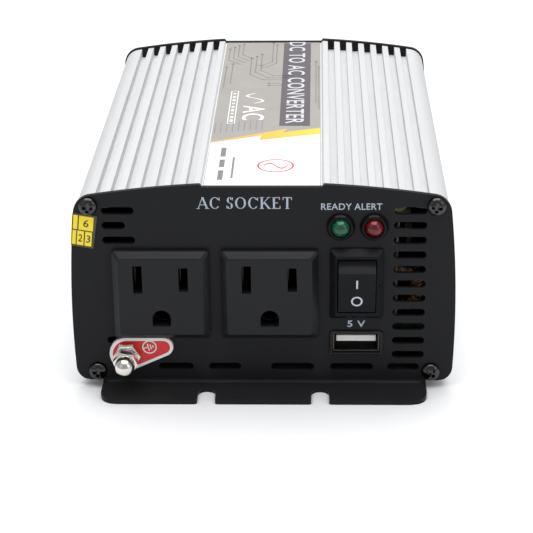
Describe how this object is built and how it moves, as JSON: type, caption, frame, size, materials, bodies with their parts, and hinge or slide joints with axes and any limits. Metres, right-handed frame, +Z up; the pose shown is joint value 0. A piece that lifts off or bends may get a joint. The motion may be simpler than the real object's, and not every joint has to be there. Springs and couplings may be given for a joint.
{
  "type": "power inverter",
  "caption": "Compact power inverter: finned extruded case between folded end panels with mounting feet, two mains outlets, rocker switch, charging port, earth stud, fan and battery terminals.",
  "frame": {"origin": "centre of the four mounting slots, on the plane the feet stand on", "axes": "+X to the right seen from the outlet side, +Y towards the rear with the fan and terminals, +Z up"},
  "size_m": [0.1074, 0.1733, 0.0614],
  "materials": {
    "satin_alloy": "satin anodised extrusion with fine draw lines",
    "black_sheet": "satin black powder coat, very fine texture",
    "dark_screws": "black zinc, semi-gloss",
    "outlet_resin": "blue-black moulded plastic, fine grain",
    "switch_resin": "black moulded plastic, smooth",
    "holder_gloss": "glossy black plastic",
    "contact_brass": "plain stamped brass",
    "green_lens": "translucent green resin",
    "red_lens": "translucent red resin",
    "board_green": "green solder mask",
    "nickel": "nickel plate, softly polished",
    "white_resin": "white moulded plastic",
    "red_tag": "red printed plastic plate with a white edge",
    "printed_label": "printed film label, satin",
    "yellow_sticker": "yellow printed paper sticker",
    "fan_resin": "black moulded plastic",
    "copper_wire": "enamelled copper wire",
    "black_knob": "black moulded plastic",
    "red_knob": "red moulded plastic",
    "ferrite": "dark grey sintered ferrite",
    "yellow_tape": "yellow winding tape",
    "core_white": "pale coated ring core",
    "sleeve_blue": "dark blue shrink sleeve",
    "fuse_amber": "translucent amber plastic",
    "chip_black": "black moulding compound",
    "pad_grey": "grey silicone pad",
    "white_lead": "off-white insulation",
    "black_lead": "black insulation"
  },
  "bodies": {
    "case": {"housing": "satin_alloy", "front_panel": "black_sheet", "rear_panel": "black_sheet", "front_panel_screws": "dark_screws", "rear_panel_screws": "dark_screws", "left_outlet": "outlet_resin", "right_outlet": "outlet_resin", "left_outlet_contacts": "contact_brass", "right_outlet_contacts": "contact_brass", "switch_housing": "switch_resin", "switch_terminals": "contact_brass", "power_led_holder": "holder_gloss", "fault_led_holder": "holder_gloss", "power_led": "green_lens", "fault_led": "red_lens", "led_board": "board_green", "port_frame": "outlet_resin", "port_shell": "nickel", "port_tongue": "white_resin", "port_board": "board_green", "earth_stud": "nickel", "earth_nut": "nickel", "earth_spring_washer": "nickel", "earth_cap_nut": "nickel", "earth_tag": "red_tag", "top_label": "printed_label", "date_sticker": "yellow_sticker", "fan_frame": "fan_resin", "fan_stator": "copper_wire", "fan_guard": "nickel", "fan_screws": "dark_screws", "fan_nuts": "nickel", "negative_post": "nickel", "negative_insulator": "black_knob", "positive_post": "nickel", "positive_insulator": "red_knob", "main_board": "board_green", "transformer_core": "ferrite", "transformer_coil": "yellow_tape", "choke_core": "core_white", "choke_coil": "copper_wire", "capacitors": "sleeve_blue", "fuses": "fuse_amber", "control_board": "board_green", "transistors": "chip_black", "thermal_pads": "pad_grey", "clamp_bars": "satin_alloy", "clamp_screws": "nickel", "outlet_leads": "white_lead", "battery_leads": "black_lead"},
    "rocker": {"switch_rocker": "switch_resin", "switch_plunger": "contact_brass"},
    "contact_arm": {"switch_arm": "contact_brass"},
    "rotor": {"fan_rotor": "fan_resin"},
    "negative_sleeve": {"negative_insert": "contact_brass"},
    "negative_cap": {"negative_knob": "black_knob"},
    "positive_sleeve": {"positive_insert": "contact_brass"},
    "positive_cap": {"positive_knob": "red_knob"}
  },
  "joints": [
    {"name": "rocker_tilt", "type": "hinge", "parent": "case", "child": "rocker", "pos_m": [0.0261, -0.0723, 0.03225], "axis": [-1, 0, 0], "range_deg": [0, 30]},
    {"name": "arm_tilt", "type": "hinge", "parent": "case", "child": "contact_arm", "pos_m": [0.0261, -0.0636, 0.03225], "axis": [1, 0, 0], "range_deg": [0, 16]},
    {"name": "fan_spin", "type": "hinge", "parent": "case", "child": "rotor", "pos_m": [-0.012, 0.065, 0.031], "axis": [0, 1, 0], "continuous": true},
    {"name": "negative_lift", "type": "slide", "parent": "case", "child": "negative_sleeve", "axis": [0, 1, 0], "range_m": [0, 0.005]},
    {"name": "negative_turn", "type": "hinge", "parent": "negative_sleeve", "child": "negative_cap", "pos_m": [0.041, 0.0794, 0.048], "axis": [0, 1, 0], "range_deg": [0, 1800]},
    {"name": "positive_lift", "type": "slide", "parent": "case", "child": "positive_sleeve", "axis": [0, 1, 0], "range_m": [0, 0.005]},
    {"name": "positive_turn", "type": "hinge", "parent": "positive_sleeve", "child": "positive_cap", "pos_m": [0.041, 0.0794, 0.026], "axis": [0, 1, 0], "range_deg": [0, 1800]}
  ],
  "couplings": [
    {"joint": "arm_tilt", "follows": "rocker_tilt", "ratio": 0.5333},
    {"joint": "negative_turn", "follows": "negative_lift", "rad_per_m": 6280},
    {"joint": "positive_turn", "follows": "positive_lift", "rad_per_m": 6280}
  ]
}
